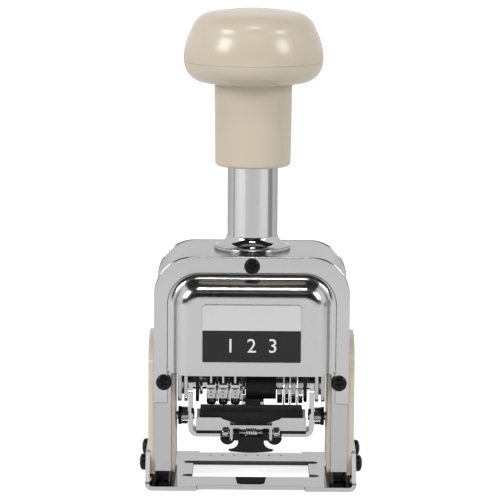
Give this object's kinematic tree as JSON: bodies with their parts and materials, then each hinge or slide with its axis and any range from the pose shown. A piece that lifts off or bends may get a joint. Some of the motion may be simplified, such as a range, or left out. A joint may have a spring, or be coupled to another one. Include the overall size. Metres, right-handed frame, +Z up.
{
  "type": "numbering machine",
  "caption": "Hand numbering machine: press the knob and a cam swings the ink pad aside while the number wheels come down through the base window.",
  "frame": {"origin": "on the desk, at the middle of the base under the guide tube", "axes": "+Z up along the plunger, +X to the right when the label faces the reader, +Y to the back"},
  "size_m": [0.0816, 0.057, 0.172],
  "materials": {
    "chrome_plate": "bright nickel-chrome plate",
    "machined_steel": "satin machined steel",
    "blackened_steel": "black oxide, satin",
    "black_plastic": "moulded black plastic",
    "beige_plastic": "glossy moulded beige",
    "ink_felt": "felt pad soaked with black ink",
    "plate_foil": "matt foil label, light over dark"
  },
  "bodies": {
    "frame": {"base_plate": "chrome_plate", "base_insert": "black_plastic", "base_screws": "blackened_steel", "frame_arch": "chrome_plate", "guide_tube": "chrome_plate", "rod_bush": "machined_steel", "tube_nut": "machined_steel", "return_spring": "machined_steel", "front_cover": "chrome_plate", "rear_cover": "chrome_plate", "name_plate": "plate_foil", "front_screws": "blackened_steel", "rear_screws": "blackened_steel", "side_panel_left": "beige_plastic", "side_panel_right": "beige_plastic", "cam_plate_left": "beige_plastic", "cam_plate_right": "beige_plastic"},
    "plunger": {"knob_body": "beige_plastic", "knob_cap": "beige_plastic", "plunger_rod": "machined_steel", "carriage_yoke": "machined_steel", "knob_nut": "machined_steel", "yoke_nut": "machined_steel", "wheel_shaft": "machined_steel", "inner_plate_left": "blackened_steel", "inner_plate_right": "blackened_steel", "guide_shoe_left": "machined_steel", "guide_shoe_right": "machined_steel", "tie_rod": "machined_steel", "detent_bar": "machined_steel", "detent_springs": "machined_steel", "spacer_drum": "black_plastic", "separators": "machined_steel"},
    "hundreds": {"hundreds_wheel": "machined_steel"},
    "tens": {"tens_wheel": "machined_steel"},
    "units": {"units_wheel": "machined_steel"},
    "repeat_works": {"repeat_ratchet": "machined_steel", "repeat_cam": "machined_steel", "repeat_index": "machined_steel"},
    "repeat_setting": {"repeat_dial": "machined_steel"},
    "rocker": {"pawl_rocker": "machined_steel", "drive_pawls": "machined_steel"},
    "bail": {"ink_bail": "chrome_plate", "roller_stud_left": "machined_steel", "roller_stud_right": "machined_steel"},
    "left_roller": {"bail_roller_left": "machined_steel"},
    "right_roller": {"bail_roller_right": "machined_steel"},
    "tray": {"ink_tray": "machined_steel", "ink_pad": "ink_felt", "latch_bracket": "machined_steel", "latch_pin": "machined_steel", "latch_caps": "black_plastic", "latch_spring": "machined_steel"},
    "latch": {"latch_lever": "black_plastic"}
  },
  "joints": [
    {"name": "plunger_press", "type": "slide", "parent": "frame", "child": "plunger", "axis": [0, 0, -1], "range_m": [0, 0.0255], "stiffness_N_per_m": 800, "springref_m": -0.02, "deforming": ["return_spring"]},
    {"name": "hundreds_turn", "type": "hinge", "parent": "plunger", "child": "hundreds", "pos_m": [-0.0147, 0, 0.0342], "axis": [1, 0, 0], "continuous": true},
    {"name": "tens_turn", "type": "hinge", "parent": "plunger", "child": "tens", "pos_m": [-0.0103, 0, 0.0342], "axis": [1, 0, 0], "continuous": true},
    {"name": "units_turn", "type": "hinge", "parent": "plunger", "child": "units", "pos_m": [-0.0059, 0, 0.0342], "axis": [1, 0, 0], "continuous": true},
    {"name": "repeat_turn", "type": "hinge", "parent": "plunger", "child": "repeat_works", "pos_m": [0.012, 0, 0.0342], "axis": [1, 0, 0], "continuous": true},
    {"name": "repeat_set", "type": "hinge", "parent": "plunger", "child": "repeat_setting", "pos_m": [0.018, 0, 0.0342], "axis": [1, 0, 0], "continuous": true},
    {"name": "pawl_rock", "type": "hinge", "parent": "plunger", "child": "rocker", "pos_m": [0, 0, 0.0342], "axis": [-1, 0, 0], "range_deg": [0, 34]},
    {"name": "bail_swing", "type": "hinge", "parent": "plunger", "child": "bail", "pos_m": [0, 0, 0.0342], "axis": [1, 0, 0], "range_deg": [0, 130]},
    {"name": "left_roller_turn", "type": "hinge", "parent": "bail", "child": "left_roller", "pos_m": [-0.025, 0, 0.0218], "axis": [1, 0, 0], "continuous": true},
    {"name": "right_roller_turn", "type": "hinge", "parent": "bail", "child": "right_roller", "pos_m": [0.025, 0, 0.0218], "axis": [1, 0, 0], "continuous": true},
    {"name": "tray_slide", "type": "slide", "parent": "bail", "child": "tray", "axis": [0, -1, 0], "range_m": [0, 0.008]},
    {"name": "latch_press", "type": "hinge", "parent": "tray", "child": "latch", "pos_m": [0, -0.0092, 0.0174], "axis": [1, 0, 0], "range_deg": [0, 18], "stiffness_Nm_per_rad": 0.02, "springref_deg": -11.46}
  ],
  "couplings": [
    {"joint": "bail_swing", "follows": "plunger_press", "rad_per_m": 88.968},
    {"joint": "pawl_rock", "follows": "plunger_press", "rad_per_m": 23.261}
  ]
}
